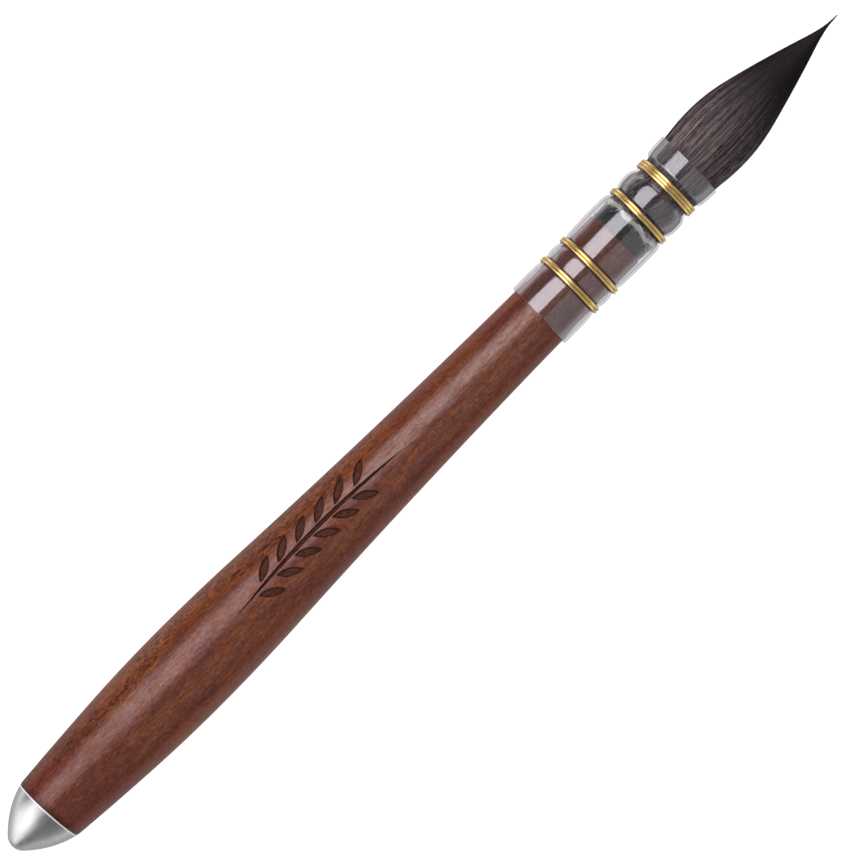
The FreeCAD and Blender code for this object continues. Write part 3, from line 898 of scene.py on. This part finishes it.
def hair_radius(x):
    """The outside of the bundle of hair: what the sleeve leaves it, then the tuft's own shape."""
    held = sleeve_outside(np.minimum(x, MOUTH - 0.8)) - SLEEVE_WALL - 0.06
    swell = chain([CREST, (MOUTH, HAIR_R_AT_MOUTH)], 180, 0.2)[::-1]
    fall = chain(TUFT_OUTLINE, 0, 0.2)
    free = np.concatenate([swell, fall[1:]])
    return np.where(x < MOUTH, np.minimum(held, HAIR_R_AT_MOUTH), np.interp(x, *free.T))


def hair_streak(random, count, angle, along):
    """Draws hairs together into locks, more towards the point, and lets each wander a little.
    Returns their angles and their tints, which are a little alike within a lock."""
    centres = np.sort(random.uniform(0, 2 * math.pi, LOCKS))
    lock = np.abs((angle - centres + math.pi) % (2 * math.pi) - math.pi).argmin(axis=1)
    tint = 0.35 * random.random(LOCKS)[lock] + 0.65 * random.random(count)
    gap = (centres[lock][:, None] - angle + math.pi) % (2 * math.pi) - math.pi
    phase = random.uniform(0, 2 * math.pi, (count, 2))
    wander = 0.018 * np.sin(7 * along + phase[:, :1]) + 0.008 * np.sin(23 * along + phase[:, 1:])
    return angle + gap * LOCK_PULL * along**0.7 + wander, tint


def under_lashing(x, gap):
    """The most radius the hair has at x: pulled in by the lashing, then opening fast."""
    return THREAD_R - gap + LASHING_FLARE * np.maximum(x - LASHING_FRONT, 0)


def hair_shade_core():
    """A near-black solid inside the bundle, from its butt almost to its point: painted shade for
    the shadowed hairs deep in it.
    """
    core_x = np.concatenate([np.arange(HAIR_BUTT, CORE_END - 0.8, 0.35), [CORE_END]])
    cover = 0.2 * np.clip((LENGTH - core_x) / 20, 0.1, 1)
    core_r = np.maximum(hair_radius(core_x) - cover, 0.08)
    core_r = np.minimum(core_r, under_lashing(core_x, 0.25))
    side = np.stack([core_x, core_r], axis=-1)
    outline = np.concatenate([[(core_x[0], 0)], side, [(core_x[-1] + 0.5, 0)]])

    def combed(x, r, angle):
        waves = np.sin(31 * angle + 0.5 * np.sin(x)) + np.sin(47 * angle + 1.3)
        waves += np.sin(83 * angle + 0.3 * x)
        return x, r + 0.03 * waves * np.clip(r / 3, 0, 1)

    core = turned("hair_shade_core", outline, tube_ring(240), combed)
    # tint 0 gives the darkest, near-black hair colour: painted shade
    add_attribute(core.data, "tint", np.zeros(len(core.data.vertices)))
    add_attribute(core.data, "along", np.full(len(core.data.vertices), 0.3))
    return core


def hairs_in_sleeve(random):
    """The hairs seen through the sleeve, from the butt of the bundle to the last binding."""
    count = HAIRS_IN_SLEEVE
    t = np.linspace(0, 1, HAIR_POINTS)[None, :]
    angle = scattered(random, 0, 2 * math.pi, count)
    start = HAIR_BUTT + scattered(random, 0, 1.0, count)
    x = start + (HAIR_NIP + 0.5 - start) * t
    slant = random.normal(-0.30, 0.16, (count, 1)) * t
    wave = 0.05 * np.sin(6 * t + phases(random, count))
    sunk = scattered(random, 0, 0.22, count)
    r = np.minimum(hair_radius(x), under_lashing(x, 0.1)) - 0.03 - sunk
    thick = np.ones_like(x) * scattered(random, 0.04, 0.085, count)
    return tubes(
        "hair_in_sleeve", x, r, angle + slant + wave, thick,
        tint=random.random(count), along=np.full(count, 0.0),
    )


def tuft_layer(random, name, count, sunk):
    """Hairs from the last binding along the tuft, from its surface to sunk mm below it where it is
    widest. Each one thins out towards its own end, and the longest reach the point."""
    t = np.linspace(0, 1, HAIR_POINTS)[None, :] ** 0.9
    start = np.full((count, 1), HAIR_NIP - 0.6)
    end = LENGTH - 15 * random.random((count, 1)) ** 1.8
    x = start + (end - start) * t
    along = np.clip((x - MOUTH) / (LENGTH - MOUTH), 0, 1)
    angle = scattered(random, 0, 2 * math.pi, count)
    angle, tint = hair_streak(random, count, angle, along)
    outside = hair_radius(x)
    lock = 0.08 * np.sin(19 * angle + 5 * along) + 0.06 * np.sin(43 * angle)
    depth = sunk * random.random((count, 1)) - lock * 0.6
    r = outside * (1 - np.clip(depth, 0, 1) / 6) - 0.05
    r = np.maximum(r, 0.05)
    thin = 1 - 0.7 * smoothstep(0.55, 1.0, t)
    thick = HAIR_R * thin * scattered(random, 0.8, 1.2, count)
    return tubes(f"hair_{name}", x, r, angle, thick, tint=tint, along=along)


def make_hair():
    """The hair: a near-black core of painted shade, the hairs seen through the sleeve, and the
    layers of the tuft.
    """
    random = np.random.default_rng(21)
    finish = hair_finish()
    core = hair_shade_core()
    held = hairs_in_sleeve(random)
    finish.onto(held, "hair")
    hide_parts("hair_root")
    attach(held, "brush")
    layers = [tuft_layer(random, *layer) for layer in HAIR_LAYERS]
    mouth = place(MOUTH, 0.0, 0.0)
    for piece in [core, *layers]:
        finish.onto(piece, "hair")
        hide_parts("hair_tuft", "hair_root")
        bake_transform(piece)


# ---------------------------------------------------------------- studio

VIEW_DISTANCE = 0.925  # in metres
VIEW_X, VIEW_Y = 90.65, 0.06  # the point at the picture's centre, in mm
VIEW_TURN = -45.22
LENS, SENSOR = 253.4, 36.0


def make_camera():
    """A long lens straight above the brush, turned so that the brush points up and to the right."""
    camera = bpy.data.objects.new("camera", bpy.data.cameras.new("camera"))
    camera.data.lens, camera.data.sensor_width = LENS, SENSOR
    camera.data.clip_end = 20
    camera.location = (NOSE_X + VIEW_X * MM, VIEW_Y * MM, AXIS_Z + VIEW_DISTANCE)
    camera.rotation_euler = (0, 0, math.radians(VIEW_TURN))
    bpy.context.scene.collection.objects.link(camera)
    bpy.context.scene.camera = camera


def make_light(name, distance, lean_degrees, along, size, radiance, tint=(1, 1, 1), glossy=True):
    """A softbox facing the brush, or the nose of its cap if it is shifted along. lean_degrees is
    from straight up towards +Y, along is its shift along X in metres, and size is its length
    along X and its width. Unless glossy, it lights the brush but isn't mirrored in it."""
    lamp = bpy.data.lights.new(name, "AREA")
    lamp.shape = "RECTANGLE"
    lamp.size, lamp.size_y = size
    lamp.energy = radiance * math.pi * size[0] * size[1]
    lamp.color = tint
    light = bpy.data.objects.new(name, lamp)
    lean = math.radians(lean_degrees)
    spot = Vector((along, distance * math.sin(lean), AXIS_Z + distance * math.cos(lean)))
    light.location = spot
    if along:
        from_nose = spot - Vector((NOSE_X, 0, AXIS_Z))
        light.rotation_euler = from_nose.to_track_quat("Z", "Y").to_euler()
    else:
        light.rotation_euler = (-lean, 0, 0)
    light.visible_glossy = glossy
    bpy.context.scene.collection.objects.link(light)


def make_lights():
    """A long softbox over the +Y side, a dim wide panel and an unmirrored one on the other, panels
    that only mirrors see below the floor on both sides, and a small box beyond the cap."""
    make_light("key_softbox", 0.8, 30.3, 0.0, (3.6, 0.68), 2.1, (1.0, 0.985, 1.0))
    make_light("fill_panel", 0.9, -57.5, 0.0, (3.6, 1.65), 0.27)
    make_light("horizon_panel", 0.9, -111.0, 0.0, (3.6, 0.4), 0.38)
    make_light("far_panel", 0.9, 112.0, 0.0, (3.6, 0.34), 0.7)
    make_light("side_wash", 0.9, -82.0, 0.0, (3.6, 0.2), 1.8, glossy=False)
    make_light("cap_softbox", 0.45, 53.0, -0.88, (1.05, 0.82), 1.65)


def make_room():
    """White surroundings, dark above and pale below."""
    world = bpy.data.worlds.new("studio")
    world.use_nodes = True
    nodes, links = world.node_tree.nodes, world.node_tree.links
    direction = nodes.new("ShaderNodeTexCoord")
    height = nodes.new("ShaderNodeSeparateXYZ")
    fade = nodes.new("ShaderNodeMapRange")
    for key, value in {"From Min": -0.36, "From Max": -0.06, "To Min": 0.5, "To Max": 0.05}.items():
        fade.inputs[key].default_value = value
    links.new(direction.outputs["Generated"], height.inputs[0])
    links.new(height.outputs["Z"], fade.inputs["Value"])
    links.new(fade.outputs["Result"], nodes["Background"].inputs["Strength"])
    nodes["Background"].inputs["Color"].default_value = (1, 1, 1, 1)
    bpy.context.scene.world = world
    bpy.context.scene.view_settings.view_transform = "Standard"


def make_floor():
    """A white floor that shines by itself, so that it looks evenly lit, and that no mirror sees."""
    floor_z, half = cad_bounds[0][2] - 0.05 * MM, 2
    corners = [(-half, -half, floor_z), (half, -half, floor_z), (half, half, floor_z),
               (-half, half, floor_z)]
    floor = new_mesh("floor", np.array(corners), [np.array([[0, 1, 2, 3]])])
    floor.visible_glossy = False
    paper = Finish("floor_white")
    paper.set(
        Base_Color=(0.1, 0.1, 0.1, 1), Roughness=0.9, Specular_IOR_Level=0.0,
        Emission_Color=(1, 1, 1, 1), Emission_Strength=1.0,
    )
    floor.data.materials.append(paper.material)


make_camera()
make_lights()
make_room()
make_floor()
make_handle()
make_cap()
make_sleeve()
make_bindings()
make_glue()
make_thread()
make_hair()
steel_finish().onto(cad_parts["cap_stud"], "stud_steel")
